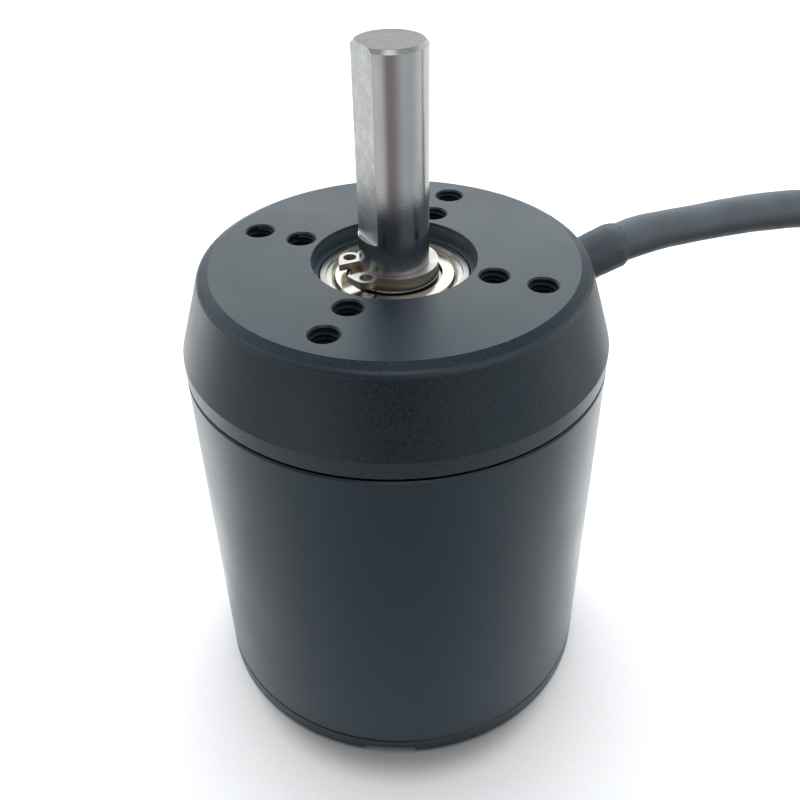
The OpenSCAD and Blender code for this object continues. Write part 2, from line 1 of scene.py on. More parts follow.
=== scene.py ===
"""Looks of a sealed outrunner motor that stands on its end bell, with its jacketed cable."""
import json
import math

import bpy
from mathutils import Matrix, Vector


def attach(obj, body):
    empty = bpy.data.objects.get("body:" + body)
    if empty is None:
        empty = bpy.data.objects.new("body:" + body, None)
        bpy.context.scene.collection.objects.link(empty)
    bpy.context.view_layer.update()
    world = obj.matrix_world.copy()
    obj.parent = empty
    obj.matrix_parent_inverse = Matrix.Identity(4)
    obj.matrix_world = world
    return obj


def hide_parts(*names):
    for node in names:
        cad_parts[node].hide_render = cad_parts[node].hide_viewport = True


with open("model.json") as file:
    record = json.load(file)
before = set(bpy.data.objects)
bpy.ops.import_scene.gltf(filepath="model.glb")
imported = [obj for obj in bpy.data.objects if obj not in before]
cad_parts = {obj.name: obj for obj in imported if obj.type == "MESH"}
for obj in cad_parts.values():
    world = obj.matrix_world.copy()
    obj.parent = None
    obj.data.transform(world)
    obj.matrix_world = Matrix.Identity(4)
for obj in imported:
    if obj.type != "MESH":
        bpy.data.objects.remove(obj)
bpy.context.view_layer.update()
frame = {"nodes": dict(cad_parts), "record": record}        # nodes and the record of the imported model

MM = 0.001
NODES = frame["nodes"]

# Camera: place in millimetres, angles in degrees, lens for a sensor 36 mm wide
CAMERA_PLACE = (0.0, -117.86, 136.91)
CAMERA_TILT = 53.08
CAMERA_TURN = -0.197
CAMERA_ROLL = -1.177
CAMERA_LENS = 41.66

# Cable, in millimetres: from the motor's chamber to the coil, and from the coil to the jacket's end
CABLE_D = 6.3
CABLE_ROUTE = [
    (23.9, 9.1, 64.4), (28.3, 10.8, 66.1), (32.7, 12.4, 67.6), (37.4, 14.2, 68.7),
    (43.0, 16.3, 69.0), (49.5, 18.8, 68.9), (56.1, 21.3, 68.7), (62.6, 23.8, 68.2),
    (68.6, 26.1, 67.4), (74.2, 28.2, 65.9), (79.8, 30.4, 62.4), (84.5, 32.1, 57.4),
    (87.8, 33.4, 51.0), (91.3, 34.7, 39.3), (95.0, 36.1, 27.4), (98.1, 37.3, 20.5),
    (102.4, 39.0, 15.5), (107.8, 41.0, 11.9), (113.8, 43.3, 9.9)]
TAIL_ROUTE = [(134.0, -19.9, 3.2), (126.5, -22.6, 3.2), (119.0, -24.6, 3.2)]

# Factors on the cable's radius at the first points of its route
CABLE_SWELL = {0: 0.92, 1: 0.93, 2: 0.96, 3: 1.03, 4: 0.99, 5: 0.97, 6: 1.0, 7: 1.03, 8: 1.03, 9: 1.02}

# Coil, in millimetres and degrees: its middle and radius, where it starts, sinks, lies low and ends
COIL_CENTRE = (130.0, 14.0)
COIL_R = 33.0
COIL_START = 110.8
COIL_EASE = -89.0
COIL_LOW = -179.0
COIL_END = -430.0
COIL_STEP = 15.0
UPPER_Z = 9.45
LOWER_Z = 3.15

# Leads from the jacket's end to their connectors, in millimetres
PHASE_D = 2.5
PHASE_COLOURS = {"a": "yellow_insulation", "b": "green_insulation", "c": "blue_insulation"}
PHASE_ROUTES = {
    "a": [(122.6, -22.5, 1.9), (114, -23.6, 1.5), (107, -22.2, 1.3), (100, -19.8, 1.4),
          (95, -18.2, 2.2), (91, -17.5, 2.6)],
    "b": [(123.3, -25.0, 1.9), (114, -27.6, 1.5), (107, -28.2, 1.3), (100, -27.4, 1.4),
          (95, -26.5, 2.2), (91, -26.2, 2.6)],
    "c": [(123.3, -25.2, 4.5), (115, -28.6, 4.4), (108, -32.4, 2.4), (100, -35.0, 1.5),
          (95, -35.3, 2.2), (91, -35.4, 2.6)]}
SENSOR_D = 2.3
SENSOR_ROUTE = [(122.7, -22.8, 4.5), (114, -21.0, 3.9), (107, -17.4, 2.0), (100, -12.6, 1.3),
                (95, -8.6, 1.7), (90, -6.5, 2.3)]
SENSOR_WIRES = 5
SENSOR_WIRE_D = 0.84
SENSOR_TWIST = 16.0

# Direction of the first mounting hole, in degrees
HOLE_ANGLE = 65.8

# Anodising, in millimetres up and out from the axis: a painted highlight at the rim, and painted light that greys the
# shaded recess and holes
PAINTED_LIGHT_GREY = (0.012, 0.020, 0.028)
PAINTED_HIGHLIGHT_RIM = (72.6, 73.35)
PAINTED_HIGHLIGHT_FROM = 24.6
RECESS_PAINTED_LIGHT = (0.036, 0.053, 0.067)
WELL = (60.0, 73.6)
WELL_REACH = 11.9
BORES = (62.0, 73.3)
BORES_REACH = 24.5

# The shaft, in millimetres and degrees: its flat, its end with the chamfer, and its duller foot
FLAT_ANGLE = -152.9
FLAT_REACH = 4.0
FLAT_FOOT = 77.9
SHAFT_TOP = 104.0
SHAFT_CHAMFER = 0.5
SHAFT_FOOT = (74.4, 77.0)

# Studio light, as from, to and the brightness at each: the room front to back, the soft light inwards
ROOM_RANGE = (-0.85, 0.1, 0.45, 1.15)
LIGHT_WAY = (0.0, 0.64, 0.77)
LIGHT_RANGE = (0.62, 0.95, 0.0, 2.4)

# Studio's pieces, in metres: the paper, the dome, and the ring, whose reach is a factor on its radius
PAPER_SIZE = 3.0
PAPER_DROP = 0.0002
RING_R = 0.033
RING_LIFT = 0.0004
RING_REACH = 42
DOME_R = 1.45

# Contact shadow on the paper, in metres: its middle, where it fades, and how much light it leaves
SHADE_MIDDLE = (0.0, -0.010, 0.0)
SHADE_FADE = (0.0222, 0.0282)
SHADE_LEAVES = 0.46

# What gloss and metal reflect: brightness by direction round the motor, in degrees from the front
GREY = (0.96, 0.985, 1.0)
NEAR_GLOW = [(-180, 2.4), (-118, 2.0), (-100, 1.8), (-83, 0.86), (-52, (0.47, 0.50, 0.52)),
             (-24, (0.32, 0.355, 0.385)), (4, (0.28, 0.325, 0.36)), (30, (0.34, 0.375, 0.405)),
             (60, (0.55, 0.58, 0.60)), (84, 1.05), (100, 1.85), (120, 2.1), (180, 2.4)]
FAR_GLOW = [(-180, 1.6), (-150, 1.5), (-125, 1.7), (-95, 0.50), (-60, 0.50), (-48, 0.70), (-30, 0.62),
            (-21, 0.50), (-14, (0.29, 0.265, 0.27)), (-8, (0.23, 0.20, 0.205)), (5, (0.24, 0.21, 0.215)),
            (20, (0.34, 0.325, 0.325)), (33, (0.44, 0.48, 0.50)), (62, (0.43, 0.47, 0.49)), (74, 0.54),
            (95, 0.76), (103, 0.70), (105.5, 0.30), (109, 0.32), (112, 0.84), (128, 0.92), (150, 0.98),
            (180, 1.2)]
WALL_GLOW = [(-180, 0.5), (-150, 0.35), (-120, 0.5), (-84, 0.25), (-50, 0.06), (-20, 0.01), (20, 0.01),
             (50, 0.03), (84, 0.28), (118, 1.1), (145, 0.5), (180, 0.5)]
HIGH_GLOW = [(-180, 1.85), (-153, 1.75), (-138, 0.7), (-110, 0.9), (-85, 0.5), (-40, 0.05), (-12, 0.02),
             (8, 0.02), (26, (0.6, 0.57, 0.56)), (55, (0.8, 0.77, 0.76)), (80, 0.4), (105, 0.52), (128, 0.48),
             (148, 0.55), (157, 2.15), (180, 1.9)]

# Brightness that full white stands for in what gloss and metal reflect
GLOW_MOST = 2.5

# Reflected floor, in metres out: where near gives way to far, and two factors with where each is reached
FAR_FROM = (0.12, 0.16)
NEAR_GAIN = (1.30, 0.97, 0.034, 0.075)

# Reflected walls and ceiling: sines of the heights where the next takes over, and the ceiling's brightness
WALL_RISE = (0.15, 0.34)
WALL_TOP = (0.58, 0.80)
CEILING = 0.24

# Reflected lamp in front: its direction, the cosines at its rim and its middle, and its brightness
FRONT_LAMP = ((0.0, -0.5, 0.866), 0.93, 0.985, 0.68)


# Shared steps

def deselect():
    bpy.ops.object.select_all(action="DESELECT")


def pick(piece):
    deselect()
    piece.select_set(True)
    bpy.context.view_layer.objects.active = piece


def settle(piece):
    """Moves the piece's place into its mesh, so that its object sits at the origin."""
    pick(piece)
    bpy.ops.object.transform_apply(location=True, rotation=True, scale=True)
    return piece


def apply_modifiers(piece):
    pick(piece)
    for modifier in list(piece.modifiers):
        bpy.ops.object.modifier_apply(modifier=modifier.name)
    return piece


def seal(piece, gap=1e-6):
    """Merges doubled points and turns every face outwards."""
    pick(piece)
    bpy.ops.object.mode_set(mode="EDIT")
    bpy.ops.mesh.select_all(action="SELECT")
    bpy.ops.mesh.remove_doubles(threshold=gap)
    bpy.ops.mesh.normals_make_consistent(inside=False)
    bpy.ops.object.mode_set(mode="OBJECT")
    return piece


def soften(piece, angle=30.0):
    pick(piece)
    bpy.ops.object.shade_smooth_by_angle(angle=math.radians(angle))
    return piece


def profile_loop(name, outline):
    """A closed outline of (x, z) points in millimetres, from a circle with as many corners."""
    deselect()
    bpy.ops.mesh.primitive_circle_add(vertices=len(outline), radius=MM)
    piece = bpy.context.object
    piece.name = name
    for corner, (x, z) in zip(piece.data.vertices, outline):
        corner.co = (x * MM, 0, z * MM)
    return piece


def turned(name, outline, steps=96):
    """A piece turned about Z, from its closed half section in millimetres."""
    piece = profile_loop(name, outline)
    bpy.ops.object.mode_set(mode="EDIT")
    bpy.ops.mesh.select_all(action="SELECT")
    bpy.ops.mesh.spin(steps=steps, angle=math.tau, center=(0, 0, 0), axis=(0, 0, 1))
    bpy.ops.object.mode_set(mode="OBJECT")
    return seal(piece)


def join(name, pieces):
    deselect()
    for piece in pieces:
        piece.select_set(True)
    bpy.context.view_layer.objects.active = pieces[0]
    bpy.ops.object.join()
    pieces[0].name = name
    return pieces[0]


# Curves of the cable and the leads

def smooth_curve(name, points, diameter, swell=None, sides=6):
    """A round cord through points in millimetres; swell scales its radius at some of them."""
    curve = bpy.data.curves.new(name, "CURVE")
    curve.dimensions = "3D"
    curve.bevel_depth = diameter * MM / 2
    curve.bevel_resolution = sides
    curve.resolution_u = 8
    curve.use_fill_caps = True
    spline = curve.splines.new("BEZIER")
    spline.bezier_points.add(len(points) - 1)
    for i, (knot, place) in enumerate(zip(spline.bezier_points, points)):
        knot.co = Vector(place) * MM
        knot.handle_left_type = knot.handle_right_type = "AUTO"
        knot.radius = (swell or {}).get(i, 1.0)
    cord = bpy.data.objects.new(name, curve)
    bpy.context.scene.collection.objects.link(cord)
    return cord


def centreline(cord):
    """Points along a curve, close together, in metres."""
    bare = cord.copy()
    bare.data = cord.data.copy()
    bare.data.bevel_depth = 0
    bpy.context.scene.collection.objects.link(bare)
    shown = bare.evaluated_get(bpy.context.evaluated_depsgraph_get())
    path = [tuple(v.co) for v in shown.to_mesh().vertices]
    shown.to_mesh_clear()
    bpy.data.objects.remove(bare)
    return path


def coil_points():
    """The cable's turns: round the top, down to the table, and round below."""
    points = []
    steps = round((COIL_START - COIL_END) / COIL_STEP)
    for i in range(steps + 1):
        angle = COIL_START + (COIL_END - COIL_START) * i / steps
        part = min(1.0, max(0.0, (COIL_EASE - angle) / (COIL_EASE - COIL_LOW)))
        drop = part * part * (3 - 2 * part)
        points.append((COIL_CENTRE[0] + COIL_R * math.cos(math.radians(angle)),
                       COIL_CENTRE[1] + COIL_R * math.sin(math.radians(angle)),
                       UPPER_Z + (LOWER_Z - UPPER_Z) * drop))
    return points


# Surfaces of the cable and its sleeve

def uneven(piece, name, size, depth):
    """Presses soft dents into a surface, none of it outwards; size and depth in millimetres."""
    texture = bpy.data.textures.new(name, "CLOUDS")
    texture.noise_scale = size * MM
    texture.noise_depth = 1
    modifier = piece.modifiers.new(name, "DISPLACE")
    modifier.texture = texture
    modifier.texture_coords = "LOCAL"
    modifier.strength = depth * MM
    modifier.mid_level = 1.0
    return apply_modifiers(piece)


def mark_upward(piece):
    """Notes on each point how far its surface faces up, for the painted shade in the material."""
    upward = piece.data.attributes.new("upward", "FLOAT", "POINT")
    upward.data.foreach_set("value", [point.normal.z for point in piece.data.vertices])
    return piece


# Camera

def make_camera():
    data = bpy.data.cameras.new("camera")
    data.sensor_width = 36.0
    data.lens = CAMERA_LENS
    data.clip_start = 0.005
    camera = bpy.data.objects.new("camera", data)
    turn = Matrix.Rotation(math.radians(CAMERA_TURN), 4, "Z")
    tilt = Matrix.Rotation(math.radians(CAMERA_TILT), 4, "X")
    roll = Matrix.Rotation(math.radians(CAMERA_ROLL), 4, "Z")
    camera.matrix_world = Matrix.Translation(Vector(CAMERA_PLACE) * MM) @ turn @ tilt @ roll
    bpy.context.scene.collection.objects.link(camera)
    bpy.context.scene.camera = camera


# New pieces

def make_cable():
    """The jacketed cable, from inside the motor through its coil to the jacket's end."""
    line = smooth_curve("cable_line", CABLE_ROUTE + coil_points() + TAIL_ROUTE, CABLE_D, CABLE_SWELL, 10)
    path = centreline(line)
    cable = line.copy()
    cable.data = line.data.copy()
    bpy.context.scene.collection.objects.link(cable)
    pick(cable)
    bpy.ops.object.convert(target="MESH")
    cable = bpy.context.object
    cable.name = "jacketed_cable"
    uneven(seal(cable), "jacket_unevenness", 7, 0.16)
    soften(cable, 60)
    return cable, line, path


def make_jacket_end():
    """Open end of the jacket, pressed round the leads."""
    end, before = Vector(TAIL_ROUTE[-1]), Vector(TAIL_ROUTE[-2])
    rim = turned("jacket_end", [(1.0, -0.5), (2.75, -0.5), (3.1, -0.5), (3.14, 0.9), (3.02, 1.15),
                                (2.8, 1.15), (2.66, 0.9), (2.6, 0.1), (1.0, 0.02)], 48)
    rim.matrix_world = (Matrix.Translation(end * MM)
                        @ (end - before).to_track_quat("Z", "Y").to_matrix().to_4x4())
    return soften(settle(rim), 40)


def make_sleeve(line):
    """Shrunk sleeve over the cable where it leaves the mount, wrinkled at its outer end."""
    start, end, bore = 2.0, 13.1, 3.0
    outer = [(start, 3.85), (5.0, 3.85), (7.5, 3.84), (9.8, 3.84), (11.4, 3.80), (12.1, 3.70),
             (12.7, 3.50), (end, 3.28)]
    outline = [(r, -x) for x, r in outer] + [(bore, -end), (bore, -start)]
    sleeve = turned("shrunk_sleeve", outline, 64)
    pick(sleeve)
    bpy.ops.object.mode_set(mode="EDIT")
    for _ in range(2):
        bpy.ops.mesh.select_all(action="SELECT")
        bpy.ops.mesh.subdivide(number_cuts=1)
    bpy.ops.object.mode_set(mode="OBJECT")
    sleeve.rotation_euler = (0, -math.pi / 2, 0)
    settle(sleeve)
    bend = sleeve.modifiers.new("along_cable", "CURVE")
    bend.object = line
    bend.deform_axis = "POS_X"
    apply_modifiers(sleeve)
    uneven(sleeve, "sleeve_wrinkles", 2.2, 0.22)
    return soften(seal(sleeve), 50)


def make_lead(name, route, diameter):
    """A lead as a mesh, with the points along its middle."""
    line = smooth_curve(name, route, diameter)
    path = centreline(line)
    pick(line)
    bpy.ops.object.convert(target="MESH")
    return soften(seal(bpy.context.object), 60), path


def make_sensor_bundle():
    """Thin wires twisted round each other along the sensor lead's route."""
    middle = smooth_curve("sensor_middle", SENSOR_ROUTE, SENSOR_D)
    path = centreline(middle)
    bpy.data.objects.remove(middle)
    radius = (SENSOR_D - SENSOR_WIRE_D) / 2
    spots = [Vector(spot) / MM for spot in path]
    wires = []
    for k in range(SENSOR_WIRES):
        places, gone = [], 0.0
        for i, spot in enumerate(spots):
            ahead = (spots[min(i + 1, len(spots) - 1)] - spots[max(i - 1, 0)]).normalized()
            side = ahead.cross(Vector((0, 0, 1))).normalized()
            gone += (spot - spots[i - 1]).length if i else 0.0
            turn = math.tau * (k / SENSOR_WIRES + gone / SENSOR_TWIST)
            places.append(spot + radius * (side * math.cos(turn) + side.cross(ahead) * math.sin(turn)))
        wire, _ = make_lead("sensor_wire", places, SENSOR_WIRE_D)
        number = wire.data.attributes.new("wire_number", "FLOAT", "FACE")
        number.data.foreach_set("value", [k / (SENSOR_WIRES - 1)] * len(wire.data.polygons))
        wires.append(wire)
    return join("sensor_wire_bundle", wires), path


def make_threads():
    """M4 thread ridges in the eight mounting holes, with their sizes in millimetres."""
    pitch, turns, root, crest = 0.7, 6, 2.02, 1.74
    root_half, crest_half = 0.29, 0.06
    top = 73.35
    foot = top - pitch * turns
    ridge = profile_loop("thread_ridge", [(root, foot - root_half), (crest, foot - crest_half),
                                          (crest, foot + crest_half), (root, foot + root_half)])
    screw = ridge.modifiers.new("thread", "SCREW")
    screw.angle = math.tau
    screw.screw_offset = pitch * MM
    screw.iterations = turns
    screw.steps = screw.render_steps = 36
    apply_modifiers(ridge)
    pick(ridge)
    bpy.ops.object.mode_set(mode="EDIT")
    bpy.ops.mesh.select_all(action="DESELECT")
    bpy.ops.mesh.select_mode(type="EDGE")
    bpy.ops.mesh.select_non_manifold()
    bpy.ops.mesh.edge_face_add()
    bpy.ops.object.mode_set(mode="OBJECT")
    seal(ridge)
    copies = []
    patterns = [m for m in frame["record"]["mounts"] if m["kind"] == "bolt_pattern"]
    for pattern in patterns:
        for k in range(pattern["dims"]["count"]):
            copy = ridge.copy()
            copy.data = ridge.data.copy()
            bpy.context.scene.collection.objects.link(copy)
            angle = math.radians(HOLE_ANGLE + 360 * k / pattern["dims"]["count"])
            radius = pattern["dims"]["pcd_mm"] * MM / 2
            copy.matrix_world = (Matrix.Translation((radius * math.cos(angle), radius * math.sin(angle), 0))
                                 @ Matrix.Rotation(angle * 3, 4, "Z"))
            copies.append(settle(copy))
    bpy.data.objects.remove(ridge)
    return soften(join("mounting_threads", copies), 30)


# Materials: each reads the piece's own coordinates or its attributes

def new_material(name):
    material = bpy.data.materials.new(name)
    material.use_nodes = True
    tree = material.node_tree
    tree.nodes.clear()
    out = tree.nodes.new("ShaderNodeOutputMaterial")
    shader = tree.nodes.new("ShaderNodeBsdfPrincipled")
    tree.links.new(shader.outputs["BSDF"], out.inputs["Surface"])
    return material, tree, shader


def fill(tree, socket, value):
    """Gives an input a value or another node's output."""
    if isinstance(value, bpy.types.NodeSocket):
        tree.links.new(value, socket)
    else:
        socket.default_value = value


def add(tree, kind, settings=None, **inputs):
    """Adds a node; an input is named, or numbered after an underscore."""
    node = tree.nodes.new("ShaderNode" + kind)
    for key, value in (settings or {}).items():
        setattr(node, key, value)
    for key, value in inputs.items():
        fill(tree, node.inputs[int(key[1:])] if key[0] == "_" else node.inputs[key], value)
    return node


def place_on(tree):
    return add(tree, "TexCoord").outputs["Object"]


def radius_of(tree, at):
    """Distance from Z, in metres."""
    level = add(tree, "VectorMath", {"operation": "MULTIPLY"}, _0=at, _1=(1, 1, 0)).outputs["Vector"]
    return add(tree, "VectorMath", {"operation": "LENGTH"}, _0=level).outputs["Value"]


def along(tree, at, way):
    return add(tree, "VectorMath", {"operation": "DOT_PRODUCT"}, _0=at, _1=way).outputs["Value"]


def both_of(tree, first, second):
    return add(tree, "Math", {"operation": "MULTIPLY"}, _0=first, _1=second).outputs["Value"]


def layer(tree, mask, under, over):
    """Lays a colour or a texture over another where the mask is 1."""
    colours = [(*c, 1) if isinstance(c, tuple) else c for c in (under, over)]
    return add(tree, "MixRGB", Fac=mask, Color1=colours[0], Color2=colours[1]).outputs["Color"]


def between(tree, value, low, high, from_low=0.3, from_high=0.7, way="LINEAR"):
    """Spreads a value over a range of numbers, and holds it at both ends."""
    node = add(tree, "MapRange", {"interpolation_type": way}, Value=value)
    for key, number in (("From Min", from_low), ("From Max", from_high), ("To Min", low), ("To Max", high)):
        node.inputs[key].default_value = number
    return node.outputs["Result"]


def eased(tree, value, from_low, from_high, low=0.0, high=1.0):
    """Spreads a value over a range of numbers, softly at both ends."""
    return between(tree, value, low, high, from_low, from_high, "SMOOTHSTEP")


def beyond(tree, distance, reach, soft=0.1):
    """1 past a distance in millimetres."""
    return between(tree, distance, 0, 1, reach * MM, (reach + soft) * MM)


def within(tree, distance, reach, soft=0.1):
    """1 up to a distance in millimetres."""
    return between(tree, distance, 1, 0, reach * MM, (reach + soft) * MM)


def between_heights(tree, height, low, high, soft=0.05):
    """1 from one height to another, in millimetres."""
    return both_of(tree, between(tree, height, 0, 1, (low - soft) * MM, low * MM),
                   between(tree, height, 1, 0, high * MM, (high + soft) * MM))


def noise(tree, vector, scale, detail=2.0, rough=0.5):
    return add(tree, "TexNoise", Vector=vector, Scale=scale, Detail=detail, Roughness=rough).outputs["Fac"]


def stretch(tree, vector, scale):
    return add(tree, "Mapping", Vector=vector, Scale=scale).outputs["Vector"]


def two_tone(tree, value, dark, light, from_low=0.35, from_high=0.65):
    ramp = add(tree, "ValToRGB", Fac=value)
    ramp.color_ramp.elements[0].position = from_low
    ramp.color_ramp.elements[0].color = (*dark, 1)
    ramp.color_ramp.elements[1].position = from_high
    ramp.color_ramp.elements[1].color = (*light, 1)
    return ramp.outputs["Color"]


def bump(tree, shader, height, distance, strength=1.0, under=None):
    node = add(tree, "Bump", Height=height, Distance=distance * MM, Strength=strength)
    if under is not None:
        tree.links.new(under, node.inputs["Normal"])
    tree.links.new(node.outputs["Normal"], shader.inputs["Normal"])
    return node.outputs["Normal"]


def feed(tree, shader, **inputs):
    names = {"colour": "Base Color", "roughness": "Roughness", "metal": "Metallic",
             "gloss": "Specular IOR Level", "tint": "Specular Tint"}
    for key, value in inputs.items():
        fill(tree, shader.inputs[names[key]], value)


def anodised(name, dark, light, grain, roughness, gloss, tint, paints_light=True):
    """Blasted and black anodised aluminium: a fine grain in colour, gloss and relief."""
    material, tree, shader = new_material(name)
    at = place_on(tree)
    speck = noise(tree, at, grain, 3.0, 0.6)
    cloud = noise(tree, at, 90, 2.0)
    colour = two_tone(tree, speck, dark, light, 0.40, 0.74)
    # Painted highlight on the rim's rounding, and painted light on the walls of the recess and holes where shade falls
    if paints_light:
        height = add(tree, "SeparateXYZ", Vector=at).outputs["Z"]
        radius = radius_of(tree, at)
        rim = both_of(tree, between_heights(tree, height, *PAINTED_HIGHLIGHT_RIM), beyond(tree, radius, PAINTED_HIGHLIGHT_FROM))
        well = both_of(tree, between_heights(tree, height, *WELL), within(tree, radius, WELL_REACH))
        bores = both_of(tree, between_heights(tree, height, *BORES), within(tree, radius, BORES_REACH))
        colour = layer(tree, rim, colour, PAINTED_LIGHT_GREY)
        colour = layer(tree, bores, colour, PAINTED_LIGHT_GREY)
        colour = layer(tree, well, colour, RECESS_PAINTED_LIGHT)
    feed(tree, shader, colour=colour, metal=0.0, gloss=gloss, tint=(*tint, 1),
         roughness=between(tree, cloud, roughness - 0.02, roughness + 0.03))
    bump(tree, shader, speck, 0.02, 1.0)
    return material


def steel(name, colour, rough, streak_scale, streak_depth):
    """Bare metal with fine lines; streak_scale says along which axis they run."""
    material, tree, shader = new_material(name)
    at = place_on(tree)
    lines = noise(tree, stretch(tree, at, streak_scale), 1.0, 4.0, 0.7)
    cloud = noise(tree, at, 160, 3.0)
    dark = tuple(c * 0.88 for c in colour)
    feed(tree, shader, colour=two_tone(tree, cloud, dark, colour), metal=1.0,
         roughness=between(tree, lines, rough * 0.75, rough * 1.3))
    bump(tree, shader, lines, streak_depth, 0.5)
    return material


def turned_steel(name, colour, rough, depth=0.003, tint=0.10, lines=9000):
    """Bare metal with fine rings round Z, as a lathe leaves them."""
    material, tree, shader = new_material(name)
    at = place_on(tree)
    rings = add(tree, "TexNoise", {"noise_dimensions": "1D"}, W=radius_of(tree, at), Scale=float(lines),
                Detail=3.0)
    cloud = noise(tree, at, 220, 3.0)
    dark = tuple(c * (1 - tint) for c in colour)
    feed(tree, shader, colour=two_tone(tree, cloud, dark, colour), metal=1.0,
         roughness=between(tree, rings.outputs["Fac"], rough * 0.85, rough * 1.2))
    bump(tree, shader, rings.outputs["Fac"], depth, 0.5)
    return material


def shaft_steel():
    """Ground shaft, with a matte milled flat, a turned end and a bright chamfer."""
    material, tree, shader = new_material("ground_shaft")
    at = place_on(tree)
    height = add(tree, "SeparateXYZ", Vector=at).outputs["Z"]
    turn = math.radians(FLAT_ANGLE)
    out, side = (math.cos(turn), math.sin(turn), 0), (-math.sin(turn), math.cos(turn), 0)
    flat = both_of(tree, beyond(tree, along(tree, at, out), FLAT_REACH - 0.03, 0.01),
                   beyond(tree, height, FLAT_FOOT, 0.05))
    end = beyond(tree, height, SHAFT_TOP - 0.02, 0.01)
    edge = beyond(tree, height, SHAFT_TOP - SHAFT_CHAMFER - 0.02, 0.02)
    long_way = (side[0] * 300, side[1] * 300, 300)
    fine_way = (side[0] * 3600, side[1] * 3600, -3600)
    slant = add(tree, "CombineXYZ", X=along(tree, at, long_way), Y=along(tree, at, fine_way))
    hatch = noise(tree, slant.outputs["Vector"], 1.0, 3.0, 0.6)
    rings = add(tree, "TexNoise", {"noise_dimensions": "1D"}, W=radius_of(tree, at), Scale=3200.0,
                Detail=4.0).outputs["Fac"]
    ground = noise(tree, stretch(tree, at, (240, 240, 9000)), 1.0, 3.0, 0.7)
    drawn = noise(tree, stretch(tree, at, (1300, 1300, 50)), 1.0, 3.0, 0.6)
    stain = noise(tree, at, 120, 4.0, 0.6)
    mottle = noise(tree, at, 620, 5.0, 0.7)
    pits = between(tree, noise(tree, at, 2400, 2.0), 0, 1, 0.66, 0.72)
    foot = between(tree, height, 1, 0, SHAFT_FOOT[0] * MM, SHAFT_FOOT[1] * MM)
    colour = two_tone(tree, stain, (0.615, 0.605, 0.600), (0.705, 0.70, 0.695), 0.3, 0.7)
    colour = layer(tree, edge, colour, (0.97, 0.97, 0.96))
    turned_end = layer(tree, 0.5, rings, mottle)
    colour = layer(tree, end, colour, two_tone(tree, turned_end, (0.13, 0.13, 0.127), (0.24, 0.24, 0.235)))
    milled = layer(tree, 0.65, hatch, mottle)
    milled = two_tone(tree, milled, (0.39, 0.39, 0.385), (0.60, 0.60, 0.59))
    colour = layer(tree, flat, colour, layer(tree, pits, milled, (0.28, 0.28, 0.28)))
    rough = between(tree, drawn, 0.12, 0.20)
    rough = layer(tree, foot, rough, (0.32, 0.32, 0.32))
    rough = layer(tree, edge, rough, (0.20, 0.20, 0.20))
    rough = layer(tree, end, rough, (0.36, 0.36, 0.36))
    rough = layer(tree, flat, rough, between(tree, hatch, 0.38, 0.50))
    feed(tree, shader, colour=colour, metal=1.0, roughness=rough)
    relief = layer(tree, end, layer(tree, flat, ground, hatch), rings)
    bump(tree, shader, relief, 0.012, 0.6)
    return material


def plastic(name, colour, rough, scale=900, depth=0.01):
    """Moulded plastic or insulation, with a fine grain and a faint cloud in its colour."""
    material, tree, shader = new_material(name)
    at = place_on(tree)
    grain = noise(tree, at, scale, 3.0, 0.6)
    cloud = noise(tree, at, 70, 2.0)
    dark = tuple(c * 0.86 for c in colour)
    feed(tree, shader, colour=two_tone(tree, cloud, dark, colour), metal=0.0, gloss=0.5,
         roughness=between(tree, grain, rough - 0.05, rough + 0.06))
    bump(tree, shader, grain, depth, 0.5)
    return material


def jacket(name, dark, light, under):
    """Matte jacket, faintly drawn, with painted shade: paler where it faces up than where it faces down."""
    material, tree, shader = new_material(name)
    at = place_on(tree)
    skin = noise(tree, at, 700, 4.0, 0.6)
    folds = noise(tree, at, 130, 3.0, 0.5)
    # Painted shade: the under colour is laid on where the surface faces down, the paler colours on top
    upward = add(tree, "Attribute", {"attribute_name": "upward"}).outputs["Fac"]
    above = between(tree, upward, 0, 1, -0.28, 0.34)
    colour = layer(tree, above, under, two_tone(tree, folds, dark, light, 0.3, 0.7))
    feed(tree, shader, colour=colour, metal=0.0, gloss=0.25, roughness=between(tree, skin, 0.50, 0.62))
    first = bump(tree, shader, folds, 0.12, 0.5)
    bump(tree, shader, skin, 0.015, 0.4, first)
    return material


def wire_colours(name, colours):
    """Insulation of thin wires, one colour for each wire by its number."""
    material, tree, shader = new_material(name)
    number = add(tree, "Attribute", {"attribute_name": "wire_number"}).outputs["Fac"]
    ramp = add(tree, "ValToRGB", Fac=number)
    ramp.color_ramp.interpolation = "CONSTANT"
    steps = ramp.color_ramp.elements
    for k, colour in enumerate(colours):
        step = steps[k] if k < 2 else steps.new(1.0)
        step.position = max(0.0, (k - 0.5) / (len(colours) - 1))
        step.color = (*colour, 1)
    grain = noise(tree, place_on(tree), 900, 3.0)
    feed(tree, shader, colour=ramp.outputs["Color"], metal=0.0, roughness=between(tree, grain, 0.36, 0.48))
    bump(tree, shader, grain, 0.01, 0.4)
    return material


def laminations(name):
    """Stack of thin steel sheets."""
    material, tree, shader = new_material(name)
    at = place_on(tree)
    wave = add(tree, "TexWave", {"bands_direction": "Z"}, Vector=at, Scale=450.0, Distortion=0.0)
    colour = two_tone(tree, wave.outputs["Fac"], (0.10, 0.11, 0.13), (0.34, 0.35, 0.37), 0.2, 0.6)
    feed(tree, shader, colour=colour, metal=1.0, roughness=0.45)
    bump(tree, shader, wave.outputs["Fac"], 0.04, 0.6)
    return material


def board_green(name):
    """Green circuit board with paler tracks."""
    material, tree, shader = new_material(name)
    tracks = add(tree, "TexBrick", Vector=place_on(tree), Scale=260.0)
    colour = two_tone(tree, tracks.outputs["Fac"], (0.010, 0.085, 0.030), (0.020, 0.160, 0.060), 0.4, 0.6)
    feed(tree, shader, colour=colour, metal=0.0, roughness=0.30)
    bump(tree, shader, tracks.outputs["Fac"], 0.02, 0.4)
    return material


